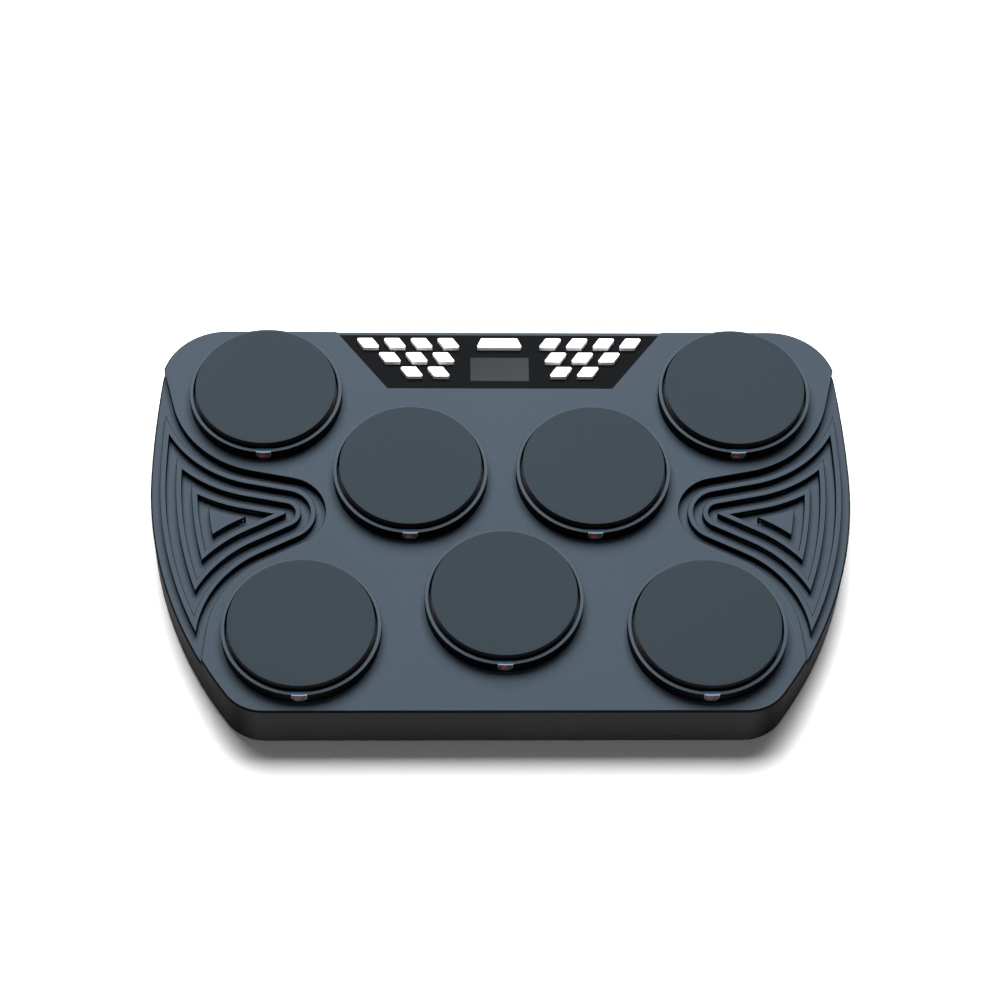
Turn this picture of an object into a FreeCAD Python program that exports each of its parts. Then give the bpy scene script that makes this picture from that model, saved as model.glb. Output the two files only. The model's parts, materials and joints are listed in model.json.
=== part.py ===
import FreeCAD, Part
import math
import os
import Sketcher
from FreeCAD import Placement, Rotation, Vector

# A tabletop electronic drum: seven round pads on a wide shallow housing, a speaker
# grille in a hollow at each side, and a sunken control panel along the rear edge.
# The origin is at the centre of the footprint, on the surface that the feet stand on.
# +X is the player's right, +Y points to the rear edge and +Z is up. Sizes are in mm.

os.makedirs("parts", exist_ok=True)
doc = FreeCAD.newDocument("drum_pad")
X_AXIS = Vector(1, 0, 0)
Y_AXIS = Vector(0, 1, 0)
Z_AXIS = Vector(0, 0, 1)

# ---------------------------------------------------------------- driving dimensions
DIMENSIONS = [
    # outline of the housing, a barrel shape with two side radii and rounded corners
    ("half_width", 220.5),
    ("half_depth", 142.6),
    ("widest_y", 32.3),
    ("rear_side_radius", 812.0),
    ("front_side_radius", 277.0),
    ("rear_corner_radius", 41.0),
    ("front_corner_radius", 28.3),
    # heights above the table
    ("level_base", 2.5),
    ("level_floor", 5.0),
    ("level_grille", 32.5),
    ("level_panel", 36.5),
    ("level_rib", 37.3),
    ("level_plate", 38.3),
    ("level_button", 39.3),
    ("level_lip", 46.8),
    ("level_pad", 51.0),
    # moulded walls
    ("wall_thick", 2.5),
    ("plate_thick", 2.5),
    ("rim_thick", 1.5),
    ("edge_chamfer", 1.05),
    ("skirt_thick", 2.0),
    ("fit_gap", 0.1),
    # pads
    ("pad_radius", 44.5),
    ("pad_skirt", 2.5),
    ("pad_cap_thick", 4.0),
    ("pad_edge_round", 0.4),
    ("pad_lift", 3.7),
    ("carrier_lift", 3.0),
    ("carrier_thick", 2.5),
    ("carrier_skirt", 2.5),
    ("collar_inner", 45.9),
    ("collar_outer", 48.5),
    ("foam_inner", 36.0),
    ("foam_outer", 41.0),
    ("sensor_radius", 13.5),
    ("sensor_thick", 0.6),
    ("puck_radius", 9.0),
    ("collar_outer_round", 0.3),
    ("collar_inner_round", 0.6),
    ("light_gap", 0.15),
    ("light_board_width", 8.0),
    ("light_board_thick", 0.5),
    ("light_board_tall", 6.5),
    ("lamp_width", 3.0),
    ("lamp_tall", 1.4),
    ("lamp_thick", 0.4),
    ("lamp_lift", 3.0),
    ("rear_pad_x", 149.6),
    ("rear_pad_y", 88.4),
    ("middle_pad_x", 57.3),
    ("middle_pad_y", 27.7),
    ("front_pad_x", 122.8),
    ("front_pad_y", -87.7),
    ("centre_pad_y", -66.6),
    # clear window in the front of each pad collar
    ("window_width", 9.6),
    ("window_foot_width", 6.4),
    ("window_foot_lift", 1.6),
    ("window_corner_lift", 4.4),
    # grille hollow: two outer arcs joined to the arc round its inner end by tangents
    ("upper_arc_x", 143.4),
    ("upper_arc_y", 97.3),
    ("upper_arc_radius", 67.2),
    ("inner_arc_x", 136.0),
    ("inner_arc_y", 0.65),
    ("inner_arc_radius", 25.85),
    ("lower_arc_x", 116.9),
    ("lower_arc_y", -91.0),
    ("lower_arc_radius", 64.0),
    ("upper_entry_angle", -14.0),
    ("lower_exit_angle", 5.3),
    ("hollow_lead", 60.0),
    ("groove_width", 5.8),
    ("rib_width", 3.6),
    ("side_stretch", 1.05),
    ("rib_chamfer", 0.35),
    ("slot_width", 1.7),
    ("slot_tall", 2.6),
    ("slot_web", 1.2),
    # control panel
    ("panel_rear_half", 105.0),
    ("panel_front_half", 72.3),
    ("panel_rear_y", 140.4),
    ("panel_front_y", 96.1),
    ("panel_thick", 2.7),
    ("panel_seat", 2.0),
    ("panel_seat_half", 112.0),
    ("panel_flange", 3.0),
    ("panel_ear", 4.0),
    ("button_width", 10.8),
    ("button_depth", 7.9),
    ("button_slant", 5.2),
    ("button_round", 1.2),
    ("button_gap", 0.3),
    ("button_flange", 0.9),
    ("button_flange_thick", 1.2),
    ("button_edge_round", 0.35),
    ("panel_post_radius", 2.5),
    ("button_pitch_x", 17.36),
    ("button_pitch_y", 11.6),
    ("button_row_step", 3.2),
    ("first_button_x", 25.1),
    ("first_button_y", 128.2),
    ("start_rear_half", 11.75),
    ("start_front_half", 14.9),
    ("start_rear_y", 136.0),
    ("display_half_width", 18.95),
    ("display_rear_y", 122.3),
    ("display_front_y", 103.4),
    ("display_thick", 1.4),
    ("display_ledge", 2.0),
    # electronics
    ("board_thick", 1.6),
    ("control_board_top", 29.6),
    ("membrane_thick", 1.0),
    ("dome_radius", 3.0),
    ("dome_tall", 1.8),
    ("main_board_half_x", 60.0),
    ("main_board_half_y", 35.0),
    ("main_board_y", 20.0),
    ("main_board_base", 12.0),
    ("capacitor_radius", 3.2),
    ("capacitor_tall", 9.0),
    ("jack_board_base", 14.0),
    ("jack_board_half_x", 62.0),
    ("jack_board_front", 112.0),
    ("jack_board_rear", 138.6),
    ("jack_bore_radius", 1.75),
    ("jack_bore_depth", 14.0),
    ("jack_barrel_radius", 4.0),
    ("jack_body_side", 11.0),
    ("usb_half_width", 4.5),
    ("usb_half_height", 1.65),
    ("usb_depth", 8.0),
    ("usb_shell", 0.3),
    ("usb_tongue", 0.7),
    ("port_play", 0.15),
    ("usb_play", 0.3),
    # plate in the rear wall with the holes for the sockets
    ("port_plate_half_x", 64.0),
    ("port_plate_half_z", 7.2),
    ("port_plate_round", 2.5),
    ("port_lip_width", 1.2),
    ("port_lip_thick", 0.5),
    # loudspeakers
    ("speaker_x", 163.0),
    ("speaker_y", -7.0),
    ("speaker_radius", 29.0),
    ("speaker_stand_off", 3.0),
    ("speaker_ear_reach", 33.0),
    ("speaker_ear_radius", 4.5),
    ("speaker_boss_radius", 3.0),
    ("vent_length", 34.0),
    ("vent_width", 2.4),
    ("vent_pitch", 7.0),
    ("magnet_radius", 19.0),
    ("magnet_base", 6.0),
    ("magnet_top", 14.0),
    ("basket_wall", 1.5),
    ("flange_thick", 1.5),
    ("flange_width", 4.0),
    ("gasket_width", 3.0),
    ("cone_base", 17.0),
    ("cone_base_radius", 8.0),
    ("cone_wall", 1.0),
    ("cone_play", 0.5),
    ("coil_radius", 7.5),
    ("coil_top", 17.6),
    # battery, feet and fasteners
    ("battery_length", 78.0),
    ("battery_width", 40.0),
    ("battery_height", 19.0),
    ("battery_y", -85.0),
    ("battery_round", 3.75),
    ("foot_radius", 8.0),
    ("pillar_radius", 5.5),
    ("boss_radius", 4.0),
    ("pillar_top", 24.0),
    ("screw_radius", 1.25),
    ("screw_play", 0.3),
    ("screw_head_radius", 3.2),
    ("screw_head_tall", 2.0),
    ("screw_well_top", 9.0),
    ("case_screw_reach", 24.0),
    ("small_head_radius", 2.45),
    ("small_head_tall", 1.6),
    ("panel_screw_reach", 7.0),
    ("speaker_screw_reach", 5.5),
]

sheet = doc.addObject("Spreadsheet::Sheet", "Dimensions")
for row, (alias, number) in enumerate(DIMENSIONS, start=1):
    sheet.set("A%d" % row, alias)
    sheet.set("B%d" % row, str(number))
    sheet.setAlias("B%d" % row, alias)
doc.recompute()

SIZE = {alias: float(sheet.get(alias)) for alias, _ in DIMENSIONS}
SLOT_ROUND = 0.9  # corner radius of a slot, as a share of half its height
# A plain + 1 or - 1 in a level lets a cutting shape reach 1 mm past the face that it opens.
parts = []


# ---------------------------------------------------------------- small helpers
def formula(text):
    """An expression on the sheet, such as wall_thick + 1, with its cells spelt out."""
    words = text.split()
    return " ".join("Dimensions." + word if word in SIZE else word for word in words)


def bind(item, path, text):
    item.setExpression(path, formula(text))


def keep(item, label):
    """Name a finished sub-part, which is also the name of its file."""
    item.Label = label
    parts.append(item)
    return item


def turned(centre, radius, degrees):
    angle = math.radians(degrees)
    return centre + Vector(radius * math.cos(angle), radius * math.sin(angle), 0)


def arc(centre, radius, start, end):
    return Part.Arc(
        turned(centre, radius, start),
        turned(centre, radius, (start + end) / 2),
        turned(centre, radius, end),
    )


def line(start, end):
    return Part.LineSegment(start, end)


def face_of(curves):
    return Part.Face(Part.Wire([curve.toShape() for curve in curves]))


def prism(face, low, high):
    slab = face.copy()
    slab.translate(Vector(0, 0, low))
    return slab.extrude(Vector(0, 0, high - low))


def both_sides(curves):
    """The curves of the right-hand side, then those of the left-hand side."""
    return [curves, mirrored(curves)]


def mirrored(curves):
    """The same curves on the other side of the middle plane x = 0."""
    flipped = []
    for curve in curves:
        span = curve.LastParameter - curve.FirstParameter
        spots = [curve.value(curve.FirstParameter + share * span) for share in (0, 0.5, 1)]
        spots = [Vector(-spot.x, spot.y, spot.z) for spot in spots]
        if isinstance(curve, Part.LineSegment):
            flipped.append(line(spots[0], spots[2]))
        else:
            flipped.append(Part.Arc(*spots))
    return flipped


def rounded_polygon(points, radius):
    """A closed outline with straight sides and one arc at each corner."""
    curves = []
    starts = []
    ends = []
    for index, corner in enumerate(points):
        before = (points[index - 1] - corner).normalize()
        after = (points[(index + 1) % len(points)] - corner).normalize()
        half_angle = before.getAngle(after) / 2
        reach = radius / math.tan(half_angle)
        middle = (before + after).normalize()
        centre = corner + middle * (radius / math.sin(half_angle))
        starts.append(corner + before * reach)
        ends.append(corner + after * reach)
        curves.append(Part.Arc(starts[-1], centre - middle * radius, ends[-1]))
    for index in range(len(points)):
        curves.append(line(ends[index], starts[(index + 1) % len(points)]))
    return curves


# ---------------------------------------------------------------- helpers for bodies
def new_body(label, x=0.0, y=0.0):
    body = doc.addObject("PartDesign::Body", label)
    body.AllowCompound = True
    body.Placement = Placement(Vector(x, y, 0), Rotation())
    return keep(body, label)


def add_sketch(body, curves, level=None, role="XY_Plane"):
    """A sketch on one of the body's own planes, moved along its normal by level."""
    plane = [item for item in body.Origin.OriginFeatures if item.Role == role][0]
    sketch = body.newObject("Sketcher::SketchObject", body.Label + "_sketch")
    sketch.AttachmentSupport = (plane, [""])
    sketch.MapMode = "FlatFace"
    if level is not None:
        bind(sketch, "AttachmentOffset.Base.z", level)
    sketch.addGeometry(curves, False)
    return sketch


def add_circles(body, centres, radius, level):
    """A sketch of equal circles whose radii follow one formula on the sheet."""
    circles = [Part.Circle(centre, Z_AXIS, 1.0) for centre in centres]
    sketch = add_sketch(body, circles, level)
    for index in range(len(circles)):
        sketch.addConstraint(Sketcher.Constraint("Radius", index, 1.0))
        bind(sketch, "Constraints[%d]" % index, radius)
    return sketch


def add_pad(body, sketch, tall, downwards=False):
    feature = body.newObject("PartDesign::Pad", body.Label + "_pad")
    feature.Profile = sketch
    bind(feature, "Length", tall)
    feature.Reversed = downwards
    return feature


def add_pocket(body, sketch, deep, upwards=True):
    feature = body.newObject("PartDesign::Pocket", body.Label + "_pocket")
    feature.Profile = sketch
    bind(feature, "Length", deep)
    feature.Reversed = upwards
    return feature


def dress(body, kind, base, size, chosen):
    """A Fillet or Chamfer on the edges of base for which chosen is true."""
    doc.recompute()
    names = []
    for index, edge in enumerate(base.Shape.Edges, start=1):
        if chosen(edge):
            names.append("Edge%d" % index)
    feature = body.newObject("PartDesign::" + kind, body.Label + "_edge")
    feature.Base = (base, names)
    bind(feature, "Radius" if kind == "Fillet" else "Size", size)
    return feature


def flat_at(level):
    """A test for the edges that lie wholly at one height."""
    def chosen(edge):
        box = edge.BoundBox
        return abs(box.ZMin - level) < 0.001 and abs(box.ZMax - level) < 0.001
    return chosen


# ---------------------------------------------------------------- helpers for primitives
def cylinder(radius, low, high, x=0.0, y=0.0):
    item = doc.addObject("Part::Cylinder", "round")
    item.Placement = Placement(Vector(x, y, 0), Rotation())
    bind(item, "Radius", radius)
    bind(item, "Height", "( %s ) - ( %s )" % (high, low))
    bind(item, "Placement.Base.z", low)
    return item


def cone(low_radius, high_radius, low, high, x=0.0, y=0.0):
    item = doc.addObject("Part::Cone", "taper")
    item.Placement = Placement(Vector(x, y, 0), Rotation())
    bind(item, "Radius1", low_radius)
    bind(item, "Radius2", high_radius)
    bind(item, "Height", "( %s ) - ( %s )" % (high, low))
    bind(item, "Placement.Base.z", low)
    return item


def block(wide, deep, low, high, x=0.0, y=0.0):
    """A box centred on x and y."""
    item = doc.addObject("Part::Box", "block")
    bind(item, "Length", wide)
    bind(item, "Width", deep)
    bind(item, "Height", "( %s ) - ( %s )" % (high, low))
    bind(item, "Placement.Base.x", "%r - ( %s ) / 2" % (x, wide))
    bind(item, "Placement.Base.y", "%r - ( %s ) / 2" % (y, deep))
    bind(item, "Placement.Base.z", low)
    return item


def fused(items):
    union = doc.addObject("Part::MultiFuse", "union")
    union.Shapes = items
    return union


def cut(base, tool):
    rest = doc.addObject("Part::Cut", "cut")
    rest.Base = base
    rest.Tool = tool
    return rest


def from_shape(shape, label):
    feature = doc.addObject("Part::Feature", label)
    feature.Shape = shape
    feature.Placement = Placement()
    return keep(feature, label)


# ---------------------------------------------------------------- plan curves
def outline_wire(inset=0.0):
    """The housing's outline in plan, moved inwards by inset."""
    wide_y = SIZE["widest_y"]
    depth = SIZE["half_depth"]
    curves = []
    for rear in (True, False):
        radius = SIZE["rear_side_radius" if rear else "front_side_radius"]
        corner = SIZE["rear_corner_radius" if rear else "front_corner_radius"]
        side = Vector(SIZE["half_width"] - radius, wide_y, 0)
        corner_y = depth - corner if rear else corner - depth
        rise = corner_y - wide_y
        centre = Vector(side.x + math.sqrt((radius - corner) ** 2 - rise ** 2), corner_y, 0)
        blend = math.degrees(math.atan2(rise, centre.x - side.x))
        end_angle = 90 if rear else -90
        right = [
            arc(side, radius - inset, 0, blend),
            arc(centre, corner - inset, blend, end_angle),
        ]
        end = turned(centre, corner - inset, end_angle)
        curves += right + mirrored(right)
        curves.append(line(end, Vector(-end.x, end.y, 0)))
    return Part.Wire(Part.sortEdges([curve.toShape() for curve in curves])[0])


def outline_geometry(inset=0.0):
    """The same outline as sketch geometry."""
    return [edge_geometry(edge) for edge in outline_wire(inset).Edges]


def edge_geometry(edge):
    span = edge.LastParameter - edge.FirstParameter
    spots = [edge.valueAt(edge.FirstParameter + share * span) for share in (0, 0.5, 1)]
    if isinstance(edge.Curve, Part.Line):
        return line(spots[0], spots[2])
    return Part.Arc(*spots)


def frame_geometry():
    """A rectangle well outside the housing, for pockets that trim to an outline."""
    x = SIZE["half_width"] + 80
    y = SIZE["half_depth"] + 80
    corners = [Vector(-x, -y, 0), Vector(x, -y, 0), Vector(x, y, 0), Vector(-x, y, 0)]
    return [line(corners[index - 1], corners[index]) for index in range(4)]


def hollow_curves(shift=0.0):
    """The hollow beside the right-hand pads, open towards the edge of the housing.

    It runs clockwise round the upper arc, round its inner end and along the lower arc,
    and is closed outside the housing. shift moves it into the hollow.
    """
    upper = Vector(SIZE["upper_arc_x"], SIZE["upper_arc_y"], 0)
    inner = Vector(SIZE["inner_arc_x"], SIZE["inner_arc_y"], 0)
    lower = Vector(SIZE["lower_arc_x"], SIZE["lower_arc_y"], 0)
    upper_radius = SIZE["upper_arc_radius"] + shift
    inner_radius = SIZE["inner_arc_radius"] - shift
    lower_radius = SIZE["lower_arc_radius"] + shift
    upper_entry = SIZE["upper_entry_angle"]
    lower_exit = SIZE["lower_exit_angle"]

    def tangent(outer, outer_radius, sign):
        way = inner - outer
        heading = math.degrees(math.atan2(way.y, way.x))
        swing = sign * math.degrees(math.acos((outer_radius + inner_radius) / way.Length))
        return heading + swing, heading + 180 + swing

    upper_leave, inner_enter = tangent(upper, upper_radius, 1)
    lower_enter, inner_leave = tangent(lower, lower_radius, -1)
    inner_leave += 360 if inner_leave < inner_enter else 0
    first = turned(upper, upper_radius, upper_entry)
    last = turned(lower, lower_radius, lower_exit)
    start = first + turned(Vector(), SIZE["hollow_lead"], upper_entry + 90)
    finish = last + turned(Vector(), SIZE["hollow_lead"], lower_exit - 90)
    upper_end = turned(upper, upper_radius, upper_leave)
    lower_start = turned(lower, lower_radius, lower_enter)
    entry = turned(inner, inner_radius, inner_enter)
    leave = turned(inner, inner_radius, inner_leave)
    curves = [line(start, first), arc(upper, upper_radius, upper_entry, upper_leave)]
    if inner_radius > 0:
        curves += [
            line(upper_end, entry),
            arc(inner, inner_radius, inner_enter, inner_leave),
            line(leave, lower_start),
        ]
    else:
        way_in = entry - upper_end
        way_out = leave - lower_start
        gap = lower_start - upper_end
        scale = gap.cross(way_out).z / way_in.cross(way_out).z
        tip = upper_end + way_in * scale
        curves += [line(upper_end, tip), line(tip, lower_start)]
    curves.append(arc(lower, lower_radius, lower_enter, lower_exit))
    edge_x = SIZE["half_width"] + SIZE["hollow_lead"]
    curves += [
        line(last, finish),
        line(finish, Vector(edge_x, finish.y, 0)),
        line(Vector(edge_x, finish.y, 0), Vector(edge_x, start.y, 0)),
        line(Vector(edge_x, start.y, 0), start),
    ]
    return curves


def outline_face(inset=0.0):
    return Part.Face(outline_wire(inset))


def hollow_face(shift=0.0, inset=0.0):
    """The part of the hollow that lies inside the outline, in plan."""
    return face_of(hollow_curves(shift)).common(outline_face(inset))


def panel_curves(grow=0.0, rear_y=None):
    """The control panel's trapezium in plan, grown by grow at its front and sides."""
    rear = SIZE["panel_rear_y"] if rear_y is None else rear_y
    slope = (SIZE["panel_rear_half"] - SIZE["panel_front_half"]) / (
        SIZE["panel_rear_y"] - SIZE["panel_front_y"])
    side_grow = grow * math.sqrt(1 + slope ** 2)
    front = SIZE["panel_front_y"] - grow
    rear_half = SIZE["panel_rear_half"] + slope * (rear - SIZE["panel_rear_y"]) + side_grow
    front_half = SIZE["panel_front_half"] - slope * grow + side_grow
    corners = [
        Vector(-front_half, front, 0),
        Vector(front_half, front, 0),
        Vector(rear_half, rear, 0),
        Vector(-rear_half, rear, 0),
    ]
    return [line(corners[index - 1], corners[index]) for index in range(4)]


def rectangle_curves(half_x, front_y, rear_y, centre_x=0.0):
    corners = [
        Vector(centre_x - half_x, front_y, 0),
        Vector(centre_x + half_x, front_y, 0),
        Vector(centre_x + half_x, rear_y, 0),
        Vector(centre_x - half_x, rear_y, 0),
    ]
    return [line(corners[index - 1], corners[index]) for index in range(4)]


# ---------------------------------------------------------------- where things stand
PADS = {
    "rear_left": (-SIZE["rear_pad_x"], SIZE["rear_pad_y"]),
    "rear_right": (SIZE["rear_pad_x"], SIZE["rear_pad_y"]),
    "middle_left": (-SIZE["middle_pad_x"], SIZE["middle_pad_y"]),
    "middle_right": (SIZE["middle_pad_x"], SIZE["middle_pad_y"]),
    "front_left": (-SIZE["front_pad_x"], SIZE["front_pad_y"]),
    "front_centre": (0.0, SIZE["centre_pad_y"]),
    "front_right": (SIZE["front_pad_x"], SIZE["front_pad_y"]),
}
PILLARS = [
    Vector(side * x, y, 0)
    for x, y in ((170.0, 115.0), (92.0, 70.0), (150.0, -95.0), (60.0, -125.0))
    for side in (-1, 1)
]
FEET = [
    Vector(side * x, y, 0)
    for x, y in ((140.0, 112.0), (190.0, 10.0), (130.0, -112.0))
    for side in (-1, 1)
]
BOARD_POSTS = [Vector(side * 54.0, y, 0) for y in (-9.0, 49.0) for side in (-1, 1)]
JACK_POSTS = [Vector(side * 56.0, 118.0, 0) for side in (-1, 1)]
PANEL_POSTS = [Vector(side * 66.0, 100.5, 0) for side in (-1, 1)]
PANEL_POSTS += [Vector(side * 20.5, 137.0, 0) for side in (-1, 1)]
JACKS = [-50.0, -32.0, 32.0, 50.0]
SPEAKERS = [Vector(side * SIZE["speaker_x"], SIZE["speaker_y"], 0) for side in (-1, 1)]
EARS = [turned(Vector(), SIZE["speaker_ear_reach"], quarter * 90) for quarter in range(4)]


# ---------------------------------------------------------------- lower housing
def make_lower_housing():
    body = new_body("lower_housing")
    shell = add_sketch(body, outline_geometry(), "level_base")
    block_out = add_pad(body, shell, "( level_plate - rim_thick ) - level_base")
    dress(body, "Chamfer", block_out, "edge_chamfer", flat_at(SIZE["level_base"]))
    inside = add_sketch(body, outline_geometry(SIZE["wall_thick"]), "level_floor")
    add_pocket(body, inside, "level_plate")
    for curves in both_sides(hollow_curves()):
        trimmed = add_sketch(body, curves, "level_grille - rim_thick")
        add_pocket(body, trimmed, "level_plate")
    strip = rectangle_curves(SIZE["panel_seat_half"] + SIZE["fit_gap"],
                             SIZE["panel_rear_y"] - 5, SIZE["half_depth"] + 5)
    add_pocket(body, add_sketch(body, strip, "level_panel - panel_seat"), "level_plate")
    add_pad(body, add_circles(body, PILLARS, "pillar_radius", "level_floor"),
            "pillar_top - level_floor")
    add_pad(body, add_circles(body, BOARD_POSTS, "screw_head_radius", "level_floor"),
            "main_board_base - level_floor")
    add_pad(body, add_circles(body, JACK_POSTS, "screw_head_radius", "level_floor"),
            "jack_board_base - level_floor")
    add_pocket(body, add_circles(body, PILLARS, "screw_radius + 0.5", "level_base - 1"),
               "pillar_top")
    add_pocket(body, add_circles(body, PILLARS, "screw_head_radius + 0.4", "level_base - 1"),
               "screw_well_top - level_base + 1")
    add_pocket(body, add_circles(body, BOARD_POSTS, "screw_radius + fit_gap / 2", "level_floor + 1"),
               "level_plate")
    add_pocket(body, add_circles(body, JACK_POSTS, "screw_radius + fit_gap / 2", "level_floor + 1"),
               "level_plate")
    opening = add_sketch(body, port_plate_curves(), role="XZ_Plane")
    add_pocket(body, opening, "half_depth + wall_thick", False)
    add_pocket(body, add_sketch(body, vent_curves()), "level_floor + 1")


def vent_curves():
    """Rows of round-ended slots in the floor below each loudspeaker."""
    curves = []
    half_x = SIZE["vent_length"] / 2
    half_y = SIZE["vent_width"] / 2
    for centre in SPEAKERS:
        for step in range(-2, 3):
            middle = centre + Vector(0, step * SIZE["vent_pitch"], 0)
            corners = [
                middle + Vector(-half_x, -half_y, 0),
                middle + Vector(half_x, -half_y, 0),
                middle + Vector(half_x, half_y, 0),
                middle + Vector(-half_x, half_y, 0),
            ]
            curves += rounded_polygon(corners, half_y * SLOT_ROUND)
    return curves


def port_level():
    """Height of the middle of the sockets in the rear wall."""
    return SIZE["jack_board_base"] + SIZE["board_thick"] + SIZE["jack_body_side"] / 2


def slot_curves(half_x, half_z, middle, radius):
    """A rounded slot about x = 0, drawn in the plane of the rear wall."""
    corners = [
        Vector(-half_x, middle - half_z, 0),
        Vector(half_x, middle - half_z, 0),
        Vector(half_x, middle + half_z, 0),
        Vector(-half_x, middle + half_z, 0),
    ]
    return rounded_polygon(corners, radius)


def port_plate_curves(grow=0.0):
    """The outline of the socket plate in the rear wall, grown by grow."""
    return slot_curves(SIZE["port_plate_half_x"] + grow, SIZE["port_plate_half_z"] + grow,
                       port_level(), SIZE["port_plate_round"] + max(grow, 0))


def make_port_plate():
    """The plate that closes the rear wall round the sockets, with a lip inside the wall."""
    body = new_body("rear_socket_plate")
    face = add_sketch(body, port_plate_curves(-SIZE["fit_gap"]), "- half_depth", "XZ_Plane")
    add_pad(body, face, "wall_thick + fit_gap")
    lip = port_plate_curves(SIZE["port_lip_width"])
    lip += slot_curves(SIZE["port_plate_half_x"] - 4 * SIZE["port_lip_width"],
                       SIZE["port_plate_half_z"] - SIZE["port_lip_width"],
                       port_level(), SIZE["port_plate_round"])
    inside = "wall_thick + fit_gap - half_depth"
    add_pad(body, add_sketch(body, lip, inside, "XZ_Plane"), "port_lip_thick")
    ports = [Part.Circle(Vector(x, port_level(), 0), Z_AXIS,
                         SIZE["jack_barrel_radius"] + SIZE["port_play"]) for x in JACKS]
    half_z = SIZE["usb_half_height"] + SIZE["usb_play"]
    ports += slot_curves(SIZE["usb_half_width"] + SIZE["usb_play"], half_z,
                         usb_level(), half_z * SLOT_ROUND)
    add_pocket(body, add_sketch(body, ports, role="XZ_Plane"), "half_depth + wall_thick", False)


def usb_level():
    """Height of the middle of the USB socket."""
    return SIZE["jack_board_base"] + SIZE["board_thick"] + SIZE["usb_half_height"]


# ---------------------------------------------------------------- top shell and grilles
def hollow_rim(edge):
    """Whether an edge lies at the top of the shell's plate, inside its chamfered outline."""
    middle = edge.valueAt((edge.FirstParameter + edge.LastParameter) / 2)
    inset = Part.Vertex(middle.x, middle.y, 0).distToShape(outline_wire())[0]
    return flat_at(SIZE["level_plate"])(edge) and inset > SIZE["edge_chamfer"] + 0.01


def make_top_shell():
    body = new_body("top_shell")
    # the plate, with a chamfered edge on the housing's walls and the rest between them
    lid = add_pad(body, add_sketch(body, outline_geometry(), "level_plate - rim_thick"),
                  "rim_thick")
    dress(body, "Chamfer", lid, "edge_chamfer", flat_at(SIZE["level_plate"]))
    clear = SIZE["wall_thick"] + SIZE["fit_gap"]
    add_pad(body, add_sketch(body, outline_geometry(clear), "level_plate - plate_thick"),
            "plate_thick - rim_thick")
    # the skirt round each grille hollow, trimmed to the inside of the housing's walls
    skirt_base = "level_grille - plate_thick"
    skirt_tall = "level_plate - rim_thick - level_grille + plate_thick"
    for curves in both_sides(hollow_curves(-SIZE["skirt_thick"])):
        add_pad(body, add_sketch(body, curves, skirt_base), skirt_tall)
    outside = frame_geometry() + outline_geometry(clear)
    add_pocket(body, add_sketch(body, outside, skirt_base + " - 1"), skirt_tall + " + 1")
    for curves in both_sides(hollow_curves()):
        hollow = add_pocket(body, add_sketch(body, curves, "level_floor"), "level_plate")
    dress(body, "Chamfer", hollow, "rib_chamfer", hollow_rim)
    # the sunken strip behind the control panel, tied to the rim by an ear at each end
    rear = SIZE["half_depth"] + 5
    add_pocket(body, add_sketch(body, panel_curves(rear_y=rear), "level_panel"), "level_plate")
    half = SIZE["panel_seat_half"]
    seat = rectangle_curves(half, SIZE["panel_rear_y"], SIZE["half_depth"])
    add_pad(body, add_sketch(body, seat, "level_panel - panel_seat"), "panel_seat")
    half_ear = SIZE["panel_ear"] / 2
    ears = []
    for side in (-1, 1):
        ears += rectangle_curves(half_ear, SIZE["panel_rear_y"], SIZE["half_depth"],
                                 side * (half - half_ear))
    add_pad(body, add_sketch(body, ears, "level_panel"),
            "level_plate - rim_thick - level_panel")
    add_pocket(body, add_sketch(body, panel_curves(), "level_floor"), "level_plate")
    # the screw bosses that meet the lower housing's pillars
    boss_tall = "level_plate - plate_thick - pillar_top"
    add_pad(body, add_circles(body, PILLARS, "boss_radius", "pillar_top"), boss_tall)
    add_pocket(body, add_circles(body, PILLARS, "screw_radius + fit_gap / 2", "pillar_top - 1"),
               boss_tall)


# Sound slots along the foot of the right-hand grille's ribs, each open below the rib and
# into a groove on its front side: the groove's number from the rim, whether the row is on
# the rear side, and the x of the row's inner end, its web and its outer end.
SLOT_ROWS = [
    (3, True, 150.0, 170.0, 188.0),
    (2, True, 145.0, 162.7, 178.0),
    (3, False, 161.0, 170.0, 177.0),
    (2, False, 147.0, 165.0, 181.0),
    (1, False, 144.0, 157.0, 173.5),
]
SLOT_SPLIT_Y = -2.0
RIB_COUNT = 3


def ring_zone(shift):
    """The hollow's plan drawn in by shift, and a little more along the housing's side."""
    return hollow_face(shift, shift * SIZE["side_stretch"])


def grille_slots():
    """Solids that cut the sound slots of the right-hand grille."""
    groove = SIZE["groove_width"]
    pitch = groove + SIZE["rib_width"]
    low = SIZE["level_grille"] - SIZE["plate_thick"] - 1
    tall = SIZE["plate_thick"] + 1 + SIZE["slot_tall"]
    reach = SIZE["half_depth"]
    cutters = []
    for number, rear, inner_x, web_x, outer_x in SLOT_ROWS:
        near = number * pitch + (-SIZE["slot_width"] if rear else groove)
        band = ring_zone(near).cut(ring_zone(near + SIZE["slot_width"]))
        band = prism(band, low, low + tall)
        front = SLOT_SPLIT_Y if rear else SLOT_SPLIT_Y - reach
        for from_x, to_x in ((inner_x, web_x), (web_x + SIZE["slot_web"], outer_x)):
            corner = Vector(from_x, front, low)
            cutters.append(band.common(Part.makeBox(to_x - from_x, reach, tall, corner)))
    return cutters


def rib(plan):
    """A rib of the grille, or its middle island, with its top edges chamfered."""
    top = SIZE["level_rib"]
    wall = prism(plan, SIZE["level_grille"], top)
    rims = [edge for edge in wall.Edges if edge.BoundBox.ZMin > top - 0.001]
    return wall.makeChamfer(SIZE["rib_chamfer"], rims)


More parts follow.
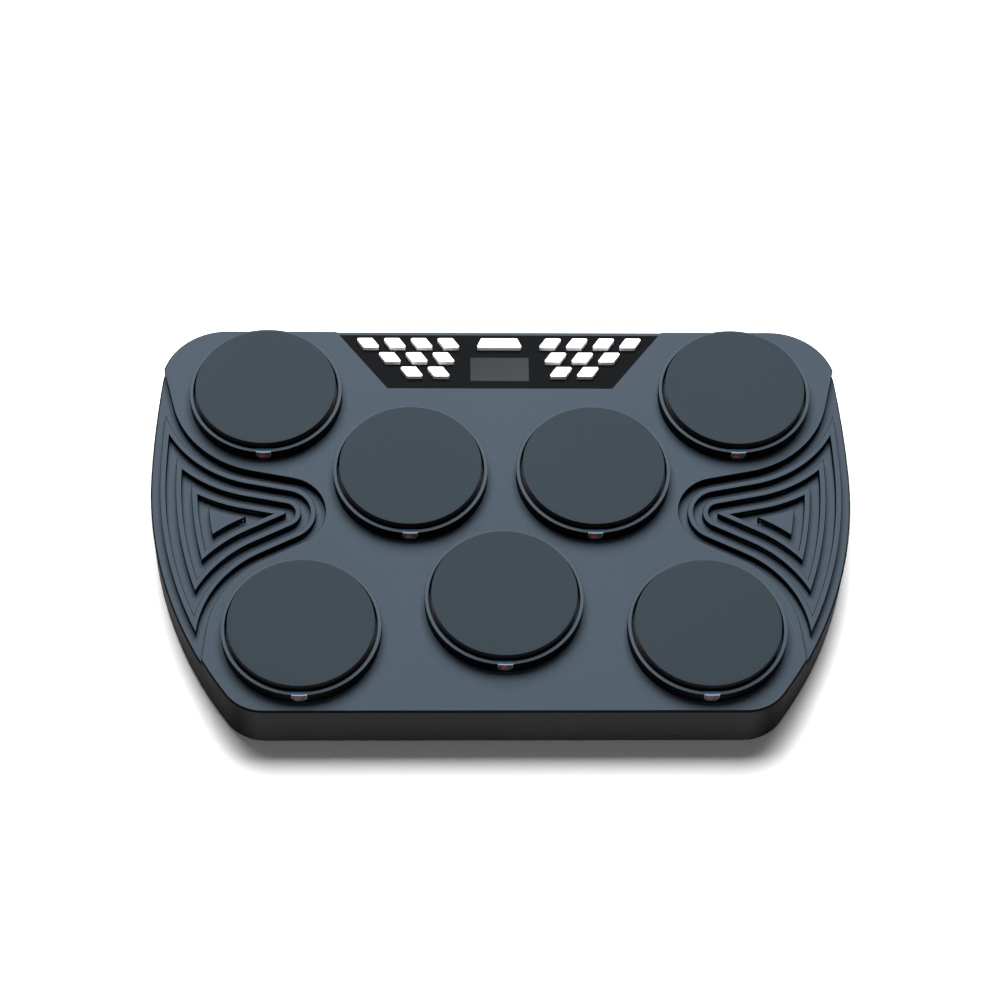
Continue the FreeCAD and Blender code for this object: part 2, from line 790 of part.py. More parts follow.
def grille_shape():
    """The right-hand speaker grille: a chamfered floor with concentric ribs on it."""
    floor_top = SIZE["level_grille"]
    rim_low = floor_top - SIZE["rim_thick"]
    groove = SIZE["groove_width"]
    pitch = groove + SIZE["rib_width"]
    lid = prism(outline_face(), rim_low, floor_top)
    rails = [edge for edge in lid.Edges if edge.BoundBox.ZMin > floor_top - 0.001]
    lid = lid.makeChamfer(SIZE["edge_chamfer"], rails)
    fitted = face_of(hollow_curves(SIZE["fit_gap"]))
    grille = lid.common(prism(fitted, rim_low - 1, floor_top + 1))
    inside = SIZE["wall_thick"] + SIZE["fit_gap"]
    under = hollow_face(SIZE["fit_gap"], inside)
    solids = [prism(under, floor_top - SIZE["plate_thick"], rim_low)]
    for index in range(RIB_COUNT):
        outer = groove + index * pitch
        solids.append(rib(ring_zone(outer).cut(ring_zone(outer + SIZE["rib_width"]))))
    solids.append(rib(ring_zone(groove + RIB_COUNT * pitch)))
    boss_top = floor_top - SIZE["plate_thick"]
    boss_low = boss_top - SIZE["speaker_stand_off"]
    centre = SPEAKERS[1]
    holes = []
    for ear in EARS:
        spot = centre + ear
        foot = Vector(spot.x, spot.y, boss_low)
        solids.append(Part.makeCylinder(SIZE["speaker_boss_radius"], boss_top - boss_low, foot))
        pilot = SIZE["screw_radius"] + SIZE["fit_gap"] / 2
        holes.append(Part.makeCylinder(pilot, SIZE["speaker_stand_off"] + 1.5, foot))
    grille = grille.fuse(solids).removeSplitter()
    return grille.cut(grille_slots() + holes)


def make_grilles():
    right = grille_shape()
    from_shape(right, "right_speaker_grille")
    from_shape(right.mirror(Vector(), X_AXIS), "left_speaker_grille")


# ---------------------------------------------------------------- pads and their collars
def window_prism():
    """The outline of a collar's clear window, as a bar along Y in front of the origin."""
    foot = SIZE["level_plate"] + SIZE["window_foot_lift"]
    corner = SIZE["level_plate"] + SIZE["window_corner_lift"]
    top = SIZE["level_lip"] + 1
    half = SIZE["window_width"] / 2
    half_foot = SIZE["window_foot_width"] / 2
    front = -SIZE["collar_outer"] - 1
    right = [(half_foot, foot), (half, corner), (half, top)]
    spots = [Vector(x, front, z) for x, z in right]
    spots += [Vector(-x, front, z) for x, z in reversed(right)]
    spots.append(spots[0])
    return Part.Face(Part.makePolygon(spots)).extrude(Vector(0, SIZE["pad_radius"] / 2, 0))


def on_every_pad(shape):
    """Copies of a shape made at the origin, one at each pad."""
    copies = []
    for x, y in PADS.values():
        copy = shape.copy()
        copy.translate(Vector(x, y, 0))
        copies.append(copy)
    return Part.makeCompound(copies)


def make_collars():
    base = Vector(0, 0, SIZE["level_plate"])
    tall = SIZE["level_lip"] - SIZE["level_plate"]
    ring = Part.makeCylinder(SIZE["collar_outer"], tall, base)
    ring = ring.cut(Part.makeCylinder(SIZE["collar_inner"], tall, base))
    top = SIZE["level_lip"]
    for side in ("outer", "inner"):
        rims = [edge for edge in ring.Edges
                if isinstance(edge.Curve, Part.Circle) and edge.BoundBox.ZMin > top - 0.001
                and abs(edge.Curve.Radius - SIZE["collar_" + side]) < 0.001]
        ring = ring.makeFillet(SIZE["collar_%s_round" % side], rims)
    window = window_prism()
    from_shape(on_every_pad(ring.cut(window)), "pad_collars")
    from_shape(on_every_pad(ring.common(window)), "light_windows")


def make_light_boards():
    """A small upright board with its lamp behind each window."""
    front = -SIZE["collar_inner"] + SIZE["light_gap"]
    wide = SIZE["light_board_width"]
    low = SIZE["level_plate"]
    board = Part.makeBox(wide, SIZE["light_board_thick"], SIZE["light_board_tall"],
                         Vector(-wide / 2, front + SIZE["lamp_thick"], low))
    lamp_wide = SIZE["lamp_width"]
    lamp = Part.makeBox(lamp_wide, SIZE["lamp_thick"], SIZE["lamp_tall"],
                        Vector(-lamp_wide / 2, front, low + SIZE["lamp_lift"]))
    from_shape(on_every_pad(board.fuse(lamp)), "light_boards")


def make_pads():
    for name, (x, y) in PADS.items():
        rubber = new_body(name + "_pad_rubber", x, y)
        low = "level_plate + pad_lift"
        disc = add_pad(rubber, add_circles(rubber, [Vector()], "pad_radius", low),
                       "level_pad - level_plate - pad_lift")
        dress(rubber, "Fillet", disc, "pad_edge_round", flat_at(SIZE["level_pad"]))
        cavity = add_circles(rubber, [Vector()], "pad_radius - pad_skirt", low)
        add_pocket(rubber, cavity, "level_pad - pad_cap_thick - level_plate - pad_lift")
        carrier = new_body(name + "_pad_carrier", x, y)
        low = "level_plate + carrier_lift"
        radius = "pad_radius - pad_skirt - fit_gap"
        add_pad(carrier, add_circles(carrier, [Vector()], radius, low),
                "level_pad - pad_cap_thick - level_plate - carrier_lift")
        cavity = add_circles(carrier, [Vector()], radius + " - carrier_skirt", low)
        add_pocket(carrier, cavity,
                   "level_pad - pad_cap_thick - level_plate - carrier_lift - carrier_thick")


def make_pad_springs():
    """The foam ring under each pad, its centre puck and the sensor disc below that."""
    rings = []
    sensors = []
    underside = "level_pad - pad_cap_thick - carrier_thick"
    sensor_top = "level_plate + sensor_thick"
    for x, y in PADS.values():
        outer = cylinder("foam_outer", "level_plate", "level_plate + carrier_lift", x, y)
        inner = cylinder("foam_inner", "level_plate", "level_plate + carrier_lift", x, y)
        rings.append(cut(outer, inner))
        rings.append(cylinder("puck_radius", sensor_top, underside, x, y))
        sensors.append(cylinder("sensor_radius", "level_plate", sensor_top, x, y))
    keep(fused(rings), "pad_foams")
    keep(fused(sensors), "pad_sensors")


# ---------------------------------------------------------------- control panel
def button_outline(side, grow=0.0):
    """A slanted button, its front inner corner at the origin, drawn for one side."""
    wide = SIZE["button_width"]
    deep = SIZE["button_depth"]
    slant = SIZE["button_slant"]
    across = grow * math.hypot(slant, deep) / deep
    lean = slant * grow / deep
    corners = [
        Vector(-across - lean, -grow, 0),
        Vector(wide + across - lean, -grow, 0),
        Vector(wide + slant + across + lean, deep + grow, 0),
        Vector(slant - across + lean, deep + grow, 0),
    ]
    curves = rounded_polygon(corners, SIZE["button_round"] + max(grow, 0) / 2)
    return curves if side > 0 else mirrored(curves)


def start_outline(grow=0.0):
    """The wide start button, drawn about x = 0 with its front edge on y = 0."""
    deep = SIZE["start_rear_y"] - SIZE["first_button_y"]
    taper = (SIZE["start_front_half"] - SIZE["start_rear_half"]) / deep
    across = grow * math.sqrt(1 + taper ** 2)
    front = SIZE["start_front_half"] + across + taper * grow
    rear = SIZE["start_rear_half"] + across - taper * grow
    corners = [
        Vector(-front, -grow, 0),
        Vector(front, -grow, 0),
        Vector(rear, deep + grow, 0),
        Vector(-rear, deep + grow, 0),
    ]
    return rounded_polygon(corners, SIZE["button_round"] + max(grow, 0) / 2)


def button_places():
    """Name, side and place of every button: rows of four, three and two on each side."""
    places = [("start_button", 0, 0.0, SIZE["first_button_y"])]
    for side, word in ((-1, "left"), (1, "right")):
        number = 0
        for row, count in enumerate((4, 3, 2)):
            first = SIZE["first_button_x"] + row * SIZE["button_row_step"]
            y = SIZE["first_button_y"] - row * SIZE["button_pitch_y"]
            for column in range(count):
                number += 1
                x = first + column * SIZE["button_pitch_x"]
                places.append(("%s_button_%d" % (word, number), side, side * x, y))
    return places


def outline_for(side, grow=0.0):
    return start_outline(grow) if side == 0 else button_outline(side, grow)


def moved(curves, x, y):
    for curve in curves:
        curve.translate(Vector(x, y, 0))
    return curves


def make_buttons():
    under = "level_panel - panel_thick - fit_gap"
    for name, side, x, y in button_places():
        button = new_body(name, x, y)
        flange = outline_for(side, SIZE["button_flange"])
        add_pad(button, add_sketch(button, flange, under), "button_flange_thick", True)
        cap = add_pad(button, add_sketch(button, outline_for(side), under),
                      "level_button - level_panel + panel_thick + fit_gap")
        dress(button, "Fillet", cap, "button_edge_round", flat_at(SIZE["level_button"]))


def button_openings():
    curves = []
    for _, side, x, y in button_places():
        curves += moved(outline_for(side, SIZE["button_gap"]), x, y)
    return curves


def display_curves(inset=0.0):
    return rectangle_curves(SIZE["display_half_width"] - inset,
                            SIZE["display_front_y"] + inset,
                            SIZE["display_rear_y"] - inset)


def make_control_panel():
    panel = new_body("control_panel")
    low = "level_panel - panel_thick"
    flange_rear = SIZE["half_depth"] - SIZE["wall_thick"] - 2 * SIZE["fit_gap"]
    flange = panel_curves(SIZE["panel_flange"], flange_rear)
    add_pad(panel, add_sketch(panel, flange, low),
            "panel_thick + level_plate - plate_thick - level_panel")
    face = panel_curves(-SIZE["fit_gap"], SIZE["panel_rear_y"] - SIZE["fit_gap"])
    shelf = "level_plate - plate_thick"
    add_pad(panel, add_sketch(panel, face, shelf), "level_panel - level_plate + plate_thick")
    posts = add_circles(panel, PANEL_POSTS, "panel_post_radius", "control_board_top")
    add_pad(panel, posts, "level_panel - panel_thick - control_board_top")
    add_pocket(panel, add_sketch(panel, button_openings(), "level_floor"), "level_plate")
    recess = add_sketch(panel, display_curves(), "level_panel - display_thick")
    add_pocket(panel, recess, "level_plate")
    view = add_sketch(panel, display_curves(SIZE["display_ledge"]), "level_floor")
    add_pocket(panel, view, "level_plate")
    pilots = add_circles(panel, PANEL_POSTS, "screw_radius + fit_gap / 2",
                         "control_board_top - 1")
    add_pocket(panel, pilots, "level_panel - control_board_top - 0.2")


def make_display():
    window = new_body("display_window")
    add_pad(window, add_sketch(window, display_curves(SIZE["fit_gap"]),
                               "level_panel - display_thick"), "display_thick")
    module = new_body("display_module")
    add_pad(module, add_sketch(module, display_curves(-1.0), "control_board_top"),
            "level_panel - panel_thick - control_board_top")


def board_plan(grow):
    return panel_curves(grow, SIZE["half_depth"] - SIZE["wall_thick"] - 1)


def make_control_board():
    board = new_body("control_board")
    low = "control_board_top - board_thick"
    add_pad(board, add_sketch(board, board_plan(0.5), low), "board_thick")
    holes = add_circles(board, PANEL_POSTS, "screw_radius + screw_play", low)
    add_pocket(board, holes, "level_plate")


def make_membrane():
    """The rubber key mat: a sheet with a dome below each button."""
    mat = new_body("button_membrane")
    add_pad(mat, add_sketch(mat, board_plan(-1.5), "control_board_top"), "membrane_thick")
    keep_clear = add_sketch(mat, display_curves(-1.8), "level_floor")
    add_pocket(mat, keep_clear, "level_plate")
    add_pocket(mat, add_circles(mat, PANEL_POSTS, "panel_post_radius + 1", "level_floor"),
               "level_plate")
    domes = [dome_place(side, x, y) for _, side, x, y in button_places()]
    sketch = add_circles(mat, domes, "dome_radius", "control_board_top + membrane_thick")
    add_pad(mat, sketch, "dome_tall")


def dome_place(side, x, y):
    middle = (SIZE["button_width"] + SIZE["button_slant"]) / 2
    return Vector(x + side * middle, y + SIZE["button_depth"] / 2, 0)


# ---------------------------------------------------------------- electronics
# What stands on the main board: width, depth and height, then the place of its middle from
# the middle of the board.
CHIPS = [
    (14.0, 14.0, 1.4, 0.0, 6.0),
    (9.0, 6.0, 1.6, -26.0, 8.0),
    (9.0, 6.0, 1.6, 26.0, 8.0),
    (22.0, 5.0, 6.0, -20.0, -26.0),
    (22.0, 5.0, 6.0, 20.0, -26.0),
]
CAPACITORS = [(x, -8.0) for x in (-42.0, -34.0, 34.0, 42.0)]


def make_main_board():
    low = "main_board_base"
    top = "main_board_base + board_thick"
    middle = SIZE["main_board_y"]
    solids = [block("main_board_half_x * 2", "main_board_half_y * 2", low, top, 0.0, middle)]
    for wide, deep, tall, x, y in CHIPS:
        solids.append(block(str(wide), str(deep), top, "%s + %s" % (top, tall), x, middle + y))
    for x, y in CAPACITORS:
        solids.append(cylinder("capacitor_radius", top, top + " + capacitor_tall",
                               x, middle + y))
    keep(cut(fused(solids), post_holes(BOARD_POSTS, low, top)), "main_board")


def post_holes(posts, low, top):
    """Clearance holes for a board's screws."""
    return fused([cylinder("screw_radius + screw_play", low + " - 1", top + " + 1",
                           post.x, post.y) for post in posts])


def make_jack_board():
    low = "jack_board_base"
    top = "jack_board_base + board_thick"
    middle = (SIZE["jack_board_front"] + SIZE["jack_board_rear"]) / 2
    base = block("jack_board_half_x * 2", "jack_board_rear - jack_board_front", low, top,
                 0.0, middle)
    keep(cut(base, post_holes(JACK_POSTS, low, top)), "jack_board")


def make_jacks():
    """Four 3.5 mm sockets, each a square body with a round nose in the rear wall."""
    low = SIZE["jack_board_base"] + SIZE["board_thick"]
    side = SIZE["jack_body_side"]
    rear = SIZE["half_depth"]
    inner = rear - SIZE["wall_thick"] - SIZE["fit_gap"]
    jacks = []
    for x in JACKS:
        corner = Vector(x - side / 2, inner - side, low)
        jack = Part.makeBox(side, side, side, corner)
        nose = Vector(x, inner - 1, port_level())
        jack = jack.fuse(Part.makeCylinder(SIZE["jack_barrel_radius"], rear - inner + 1,
                                           nose, Y_AXIS))
        mouth = Vector(x, rear, port_level())
        jacks.append(jack.cut(Part.makeCylinder(SIZE["jack_bore_radius"],
                                                SIZE["jack_bore_depth"], mouth, -Y_AXIS)))
    from_shape(Part.makeCompound(jacks), "audio_sockets")


def make_usb_socket():
    """A steel shell with a contact tongue, flush with the rear wall."""
    half_x = SIZE["usb_half_width"]
    half_z = SIZE["usb_half_height"]
    rear = SIZE["half_depth"]
    front = rear - SIZE["usb_depth"]

    def slab(shrink, start, end):
        wires = slot_curves(half_x - shrink, half_z - shrink, 0, (half_z - shrink) * SLOT_ROUND)
        edges = Part.sortEdges([curve.toShape() for curve in wires])[0]
        face = Part.Face(Part.Wire(edges))
        face.rotate(Vector(), X_AXIS, 90)
        face.translate(Vector(0, start, usb_level()))
        return face.extrude(Y_AXIS * (end - start))

    shell = slab(0.0, front, rear).cut(slab(SIZE["usb_shell"], front + 1, rear + 1))
    tongue = Part.makeBox(half_x, SIZE["usb_depth"] - 2, SIZE["usb_tongue"],
                          Vector(-half_x / 2, front + 1, usb_level() - SIZE["usb_tongue"] / 2))
    from_shape(shell.fuse(tongue), "usb_socket")


def make_speakers():
    """Two round loudspeakers below the grilles, each in four pieces."""
    gaskets = []
    frames = []
    magnets = []
    cones = []
    seat = "level_grille - plate_thick"
    flange_top = seat + " - speaker_stand_off"
    flange_low = flange_top + " - flange_thick"
    throat = "speaker_radius - flange_width"
    for centre in SPEAKERS:
        x, y = centre.x, centre.y
        ring = cylinder("speaker_radius", flange_top, seat, x, y)
        opening = cylinder("speaker_radius - gasket_width", flange_top, seat, x, y)
        gaskets.append(cut(ring, opening))
        solid = [cylinder("speaker_radius", flange_low, flange_top, x, y),
                 cone("magnet_radius", "speaker_radius - gasket_width", "magnet_top",
                      flange_low, x, y)]
        solid += [cylinder("speaker_ear_radius", flange_low, flange_top, x + ear.x, y + ear.y)
                  for ear in EARS]
        hollow = [cone("magnet_radius - basket_wall", throat, "magnet_top + basket_wall",
                       flange_low, x, y),
                  cylinder(throat, flange_low, flange_top, x, y)]
        hollow += [cylinder("screw_radius + screw_play", flange_low, flange_top,
                            x + ear.x, y + ear.y) for ear in EARS]
        frames.append(cut(fused(solid), fused(hollow)))
        magnets.append(cylinder("magnet_radius", "magnet_base", "magnet_top", x, y))
        outer = cone("cone_base_radius", throat + " - cone_play", "cone_base", flange_top, x, y)
        inner = cone("cone_base_radius - cone_wall", throat + " - cone_play - cone_wall",
                     "coil_top", flange_top, x, y)
        coil = cylinder("coil_radius", "magnet_top + basket_wall", "coil_top", x, y)
        cones.append(fused([cut(outer, inner), coil]))
    keep(fused(gaskets), "speaker_gaskets")
    keep(fused(frames), "speaker_frames")
    keep(fused(magnets), "speaker_magnets")
    keep(fused(cones), "speaker_cones")


def make_battery():
    pack = new_body("battery_pack")
    middle = SIZE["battery_y"]
    half = SIZE["battery_width"] / 2
    plan = rectangle_curves(SIZE["battery_length"] / 2, middle - half, middle + half)
    slab = add_pad(pack, add_sketch(pack, plan, "level_floor"), "battery_height")
    dress(pack, "Fillet", slab, "battery_round",
          lambda edge: edge.BoundBox.ZLength > SIZE["battery_height"] - 0.01)


def make_feet():
    feet = [cone("foot_radius - 1", "foot_radius", "0", "level_base", spot.x, spot.y)
            for spot in FEET]
    keep(fused(feet), "rubber_feet")


def screws(spots, seat, reach, head_radius, head_tall, from_below):
    """Screws whose heads lie on seat and whose shanks go on for reach beyond it."""
    items = []
    for spot in spots:
        head_end = "%s %s %s" % (seat, "-" if from_below else "+", head_tall)
        shank_end = "%s %s %s" % (seat, "+" if from_below else "-", reach)
        head = (head_end, seat) if from_below else (seat, head_end)
        shank = (seat, shank_end) if from_below else (shank_end, seat)
        items.append(fused([cylinder(head_radius, head[0], head[1], spot.x, spot.y),
                            cylinder("screw_radius", shank[0], shank[1], spot.x, spot.y)]))
    return items


def small_screws(spots, seat, reach, from_below=True):
    return screws(spots, seat, reach, "small_head_radius", "small_head_tall", from_below)


def make_screws():
    case = screws(PILLARS, "screw_well_top", "case_screw_reach", "screw_head_radius",
                  "screw_head_tall", True)
    keep(fused(case), "case_screws")
    items = []
    for posts, base in ((BOARD_POSTS, "main_board_base"), (JACK_POSTS, "jack_board_base")):
        seat = base + " + board_thick"
        items += small_screws(posts, seat, "( %s - level_floor - 2 )" % seat, False)
    items += small_screws(PANEL_POSTS, "control_board_top - board_thick", "panel_screw_reach")
    ears = [centre + ear for centre in SPEAKERS for ear in EARS]
    flange_low = "level_grille - plate_thick - speaker_stand_off - flange_thick"
    items += small_screws(ears, flange_low, "speaker_screw_reach")
    keep(fused(items), "small_screws")


# ---------------------------------------------------------------- build and export
make_lower_housing()
make_port_plate()
make_top_shell()
make_grilles()
make_collars()
make_light_boards()
make_pads()
make_pad_springs()
make_control_panel()
make_display()
make_buttons()
make_control_board()
make_membrane()
make_main_board()
make_jack_board()
make_jacks()
make_usb_socket()
make_speakers()
make_battery()
make_feet()
make_screws()
doc.recompute()

for item in doc.Objects:
    if "Invalid" in item.State or "Error" in item.State:
        raise RuntimeError("%s (%s) failed: %s" % (item.Label, item.Name, item.State))
for item in parts:
    if item.Shape.isNull() or not item.Shape.isValid() or not item.Shape.Solids:
        raise RuntimeError(item.Label + " has no valid solid")

for item in parts:
    item.Shape.exportStep("parts/%s.step" % item.Label)
    print("%-32s %2d solids %10.1f mm3" % (item.Label, len(item.Shape.Solids), item.Shape.Volume))
print(len(parts), "sub-parts")
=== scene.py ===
import json
import math
from types import SimpleNamespace

import bmesh
import bpy
from mathutils import Matrix, Vector

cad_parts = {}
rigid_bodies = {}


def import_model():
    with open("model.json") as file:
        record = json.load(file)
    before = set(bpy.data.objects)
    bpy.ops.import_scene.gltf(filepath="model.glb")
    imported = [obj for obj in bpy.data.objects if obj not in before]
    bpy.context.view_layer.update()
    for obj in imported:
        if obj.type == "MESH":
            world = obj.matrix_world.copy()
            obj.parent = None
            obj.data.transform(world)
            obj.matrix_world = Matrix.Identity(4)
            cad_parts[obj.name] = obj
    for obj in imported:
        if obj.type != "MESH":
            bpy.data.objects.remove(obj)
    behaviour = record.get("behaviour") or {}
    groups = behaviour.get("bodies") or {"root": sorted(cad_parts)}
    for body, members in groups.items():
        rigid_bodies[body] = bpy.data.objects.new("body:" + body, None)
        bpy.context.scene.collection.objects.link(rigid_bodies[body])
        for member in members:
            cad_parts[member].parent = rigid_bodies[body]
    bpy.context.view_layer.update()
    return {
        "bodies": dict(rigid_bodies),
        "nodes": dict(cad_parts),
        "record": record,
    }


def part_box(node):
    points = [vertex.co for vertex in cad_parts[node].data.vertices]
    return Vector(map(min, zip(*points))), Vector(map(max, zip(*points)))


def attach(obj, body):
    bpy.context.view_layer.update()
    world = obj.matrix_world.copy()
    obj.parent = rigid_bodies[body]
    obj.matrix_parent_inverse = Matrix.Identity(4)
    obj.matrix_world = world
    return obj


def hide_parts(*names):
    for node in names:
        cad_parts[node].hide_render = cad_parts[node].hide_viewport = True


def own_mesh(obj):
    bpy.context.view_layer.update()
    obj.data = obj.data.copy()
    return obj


# A tabletop electronic drum: round strike pads on a slate-grey housing, a sunken control
# panel at the rear and a ribbed speaker grille at each side. Lengths are in metres.

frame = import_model()
MM = 0.001
SCENE = bpy.context.scene
RECORD = frame["record"]
PADS = [
    "rear_left", "rear_right", "middle_left", "middle_right",
    "front_left", "front_centre", "front_right",
]
BUTTONS = [body for body in frame["bodies"] if "button" in body]


# ---------------------------------------------------------------- camera, floor and lights
CAMERA_TARGET = Vector((0.0, 0.0355, 0.0))
CAMERA_DISTANCE = 1.789
CAMERA_AZIMUTH = math.radians(-2.883)
CAMERA_ELEVATION = math.radians(55.874)
CAMERA_ROLL = math.radians(2.448)
CAMERA_LENS = 100.3
SENSOR_WIDTH = 36.0


def make_camera():
    """A camera that looks at its target from a distance, along two angles, with some roll."""
    level = math.cos(CAMERA_ELEVATION)
    ahead = Vector((-math.sin(CAMERA_AZIMUTH) * level, math.cos(CAMERA_AZIMUTH) * level,
                    -math.sin(CAMERA_ELEVATION)))
    side = Vector((math.cos(CAMERA_AZIMUTH), math.sin(CAMERA_AZIMUTH), 0.0))
    turn = Matrix((side, side.cross(ahead), -ahead)).transposed()
    turn = turn @ Matrix.Rotation(CAMERA_ROLL, 3, "Z")
    data = bpy.data.cameras.new("camera")
    data.lens = CAMERA_LENS
    data.sensor_width = SENSOR_WIDTH
    camera = bpy.data.objects.new("camera", data)
    camera.matrix_world = (Matrix.Translation(CAMERA_TARGET - ahead * CAMERA_DISTANCE)
                           @ turn.to_4x4())
    SCENE.collection.objects.link(camera)
    SCENE.camera = camera


def softbox(name, place, size, power):
    """A square soft light that faces the middle of the floor."""
    data = bpy.data.lights.new(name, "AREA")
    data.shape = "SQUARE"
    data.size = size
    data.energy = power
    light = bpy.data.objects.new(name, data)
    light.location = place
    light.rotation_euler = (-Vector(place)).to_track_quat("-Z", "Y").to_euler()
    SCENE.collection.objects.link(light)


WORLD_LIGHT = 0.04
FLOOR_HALF = 1.7


def make_studio():
    """A soft key light behind, a weak fill in front, and a backdrop as pale as the floor.

    The backdrop looks white past the floor's edge, but lights the object only a little.
    """
    softbox("key_light", place=(-0.1, 1.15, 1.85), size=1.7, power=150.0)
    softbox("fill_light", place=(0.0, -2.4, 0.9), size=1.6, power=16.0)
    world = bpy.data.worlds.new("studio")
    world.use_nodes = True
    background = world.node_tree.nodes["Background"]
    background.inputs["Color"].default_value = (0.98, 0.99, 1.0, 1.0)
    rays = world.node_tree.nodes.new("ShaderNodeLightPath")
    level = world.node_tree.nodes.new("ShaderNodeMapRange")
    level.inputs["To Min"].default_value = WORLD_LIGHT
    world.node_tree.links.new(rays.outputs["Is Camera Ray"], level.inputs["Value"])
    world.node_tree.links.new(level.outputs["Result"], background.inputs["Strength"])
    SCENE.world = world
    SCENE.view_settings.view_transform = "Standard"
    mesh = bpy.data.meshes.new("floor")
    corners = [(x * FLOOR_HALF, y * FLOOR_HALF, 0)
               for x, y in ((-1, -1), (1, -1), (1, 1), (-1, 1))]
    mesh.from_pydata(corners, [], [(0, 1, 2, 3)])
    floor = bpy.data.objects.new("floor", mesh)
    SCENE.collection.objects.link(floor)
    finish = Finish("floor_white", rough=0.8)
    finish.colour(finish.between(finish.noise(3.0), tone(243, 243, 244), tone(248, 248, 248)))
    mesh.materials.append(finish.material)


# ---------------------------------------------------------------- building materials
def tone(red, green, blue):
    """A colour from its screen values."""
    def linear(value):
        share = value / 255
        return share / 12.92 if share <= 0.04045 else ((share + 0.055) / 1.055) ** 2.4
    return (linear(red), linear(green), linear(blue), 1.0)


class Finish:
    """A node material in the making, round one Principled shader."""

    def __init__(self, name, rough=0.5, specular=0.5, metal=0.0):
        self.material = bpy.data.materials.new(name)
        self.material.use_nodes = True
        self.tree = self.material.node_tree
        self.shader = self.tree.nodes["Principled BSDF"]
        self.set("Roughness", rough)
        self.set("Specular IOR Level", specular)
        self.set("Metallic", metal)
        where = self.tree.nodes.new("ShaderNodeTexCoord")
        self.place = where.outputs["Object"]
        self.normal = where.outputs["Normal"]

    def set(self, name, value):
        socket = self.shader.inputs[name]
        if isinstance(value, bpy.types.NodeSocket):
            self.tree.links.new(value, socket)
        else:
            socket.default_value = value

    def colour(self, value):
        self.set("Base Color", value)

    def add(self, kind, inputs, output=0, **settings):
        node = self.tree.nodes.new("ShaderNode" + kind)
        for name, value in settings.items():
            setattr(node, name, value)
        for name, value in inputs.items():
            if isinstance(value, bpy.types.NodeSocket):
                self.tree.links.new(value, node.inputs[name])
            else:
                node.inputs[name].default_value = value
        return node.outputs[output]

    def noise(self, scale, detail=2.0, place=None):
        return self.add("TexNoise", {"Vector": place or self.place, "Scale": scale,
                                     "Detail": detail})

    def cells(self, scale):
        return self.add("TexVoronoi", {"Vector": self.place, "Scale": scale})

    def stretch(self, x, y, z):
        """The object's coordinates, scaled along each axis."""
        return self.add("VectorMath", {0: self.place, 1: (x, y, z)}, operation="MULTIPLY")

    def axis(self, vector, name):
        node = self.tree.nodes.new("ShaderNodeSeparateXYZ")
        self.tree.links.new(vector, node.inputs[0])
        return node.outputs[name]

    def span(self, value, low, high, start=0.0, end=1.0):
        """value taken from low..high to start..end, and held there outside it."""
        return self.add("MapRange", {"Value": value, "From Min": low, "From Max": high,
                                     "To Min": start, "To Max": end})

    def maths(self, operation, first, second):
        return self.add("Math", {0: first, 1: second}, operation=operation)

    def absolute(self, value):
        return self.add("Math", {0: value}, operation="ABSOLUTE")

    def between(self, share, first, second):
        return self.add("Mix", {0: share, 6: first, 7: second}, output=2, data_type="RGBA")

    def relief(self, height, depth):
        """A bump of the given depth."""
        inputs = {"Height": height, "Distance": depth, "Strength": 1.0}
        self.set("Normal", self.add("Bump", inputs))

    def unshaded_upward(self, low=0.78, high=0.95):
        """1 on faces that look up, 0 on walls, chamfers and undersides; it masks painted shade.
        """
        return self.span(self.axis(self.normal, "Z"), low, high)


# ---------------------------------------------------------------- the materials
GRILLE_STEP = 4.8 * MM  # height of the ribs above the grille's floor


def grained_plastic(name, top, wall_shade, rough, specular, grain=2200.0, depth=0.03 * MM,
                    lining=None):
    """Moulded plastic with a fine spark-eroded grain, and painted shade on its upright walls.

    lining, if given, is a function that builds the colour of the walls from their painted shade.
    """
    finish = Finish(name, specular=specular)
    wall_shade = lining(finish, wall_shade) if lining else wall_shade
    drift = finish.noise(9.0, 3.0)
    speck = finish.noise(grain, 1.0)
    dark = tuple(0.93 * part for part in top[:3]) + (1.0,)
    light = tuple(1.05 * part for part in top[:3]) + (1.0,)
    drifting = finish.between(drift, dark, light)
    speckled = finish.between(finish.span(speck, 0.35, 0.75, 0.0, 0.12), drifting, wall_shade)
    # painted shade: walls, chamfers and undersides take the dark wall colour, tops the grained
    # one
    finish.colour(finish.between(finish.unshaded_upward(), wall_shade, speckled))
    finish.set("Roughness", finish.span(speck, 0.3, 0.7, rough - 0.05, rough + 0.06))
    finish.relief(speck, depth)
    return finish.material


def slot_lining(finish, wall_shade):
    """The walls' painted shade, and a grey dust cloth on those of the slots over a loudspeaker.
    """
    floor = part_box("right_speaker_grille")[1].z - GRILLE_STEP
    below = finish.span(finish.axis(finish.place, "Z"), floor - 0.1 * MM, floor, 1.0, 0.0)
    low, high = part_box("speaker_frames")
    reach = (high.y - low.y) / 2
    across = finish.absolute(finish.axis(finish.place, "X"))
    across = finish.maths("SUBTRACT", across, high.x - reach)
    along = finish.maths("SUBTRACT", finish.axis(finish.place, "Y"), (low.y + high.y) / 2)
    apart = finish.maths("ADD", finish.maths("MULTIPLY", across, across),
                         finish.maths("MULTIPLY", along, along))
    over = finish.span(apart, reach ** 2, (reach + 1.0 * MM) ** 2, 1.0, 0.0)
    weave = finish.noise(3000.0, 1.0)
    cloth = finish.between(weave, tone(66, 72, 78), tone(104, 110, 116))
    return finish.between(finish.maths("MULTIPLY", below, over), wall_shade, cloth)


def shell_slate():
    # tone(7, 8, 9) is painted shade on the shell's upright walls
    return grained_plastic("shell_slate", tone(50, 60, 69), tone(7, 8, 9), 0.55, 0.05,
                           lining=slot_lining)


def collar_slate():
    # tone(5, 5, 6) is painted shade on the collars' upright walls
    return grained_plastic("collar_slate", tone(52, 62, 70), tone(5, 5, 6), 0.5, 0.05,
                           grain=3000.0, depth=0.02 * MM)


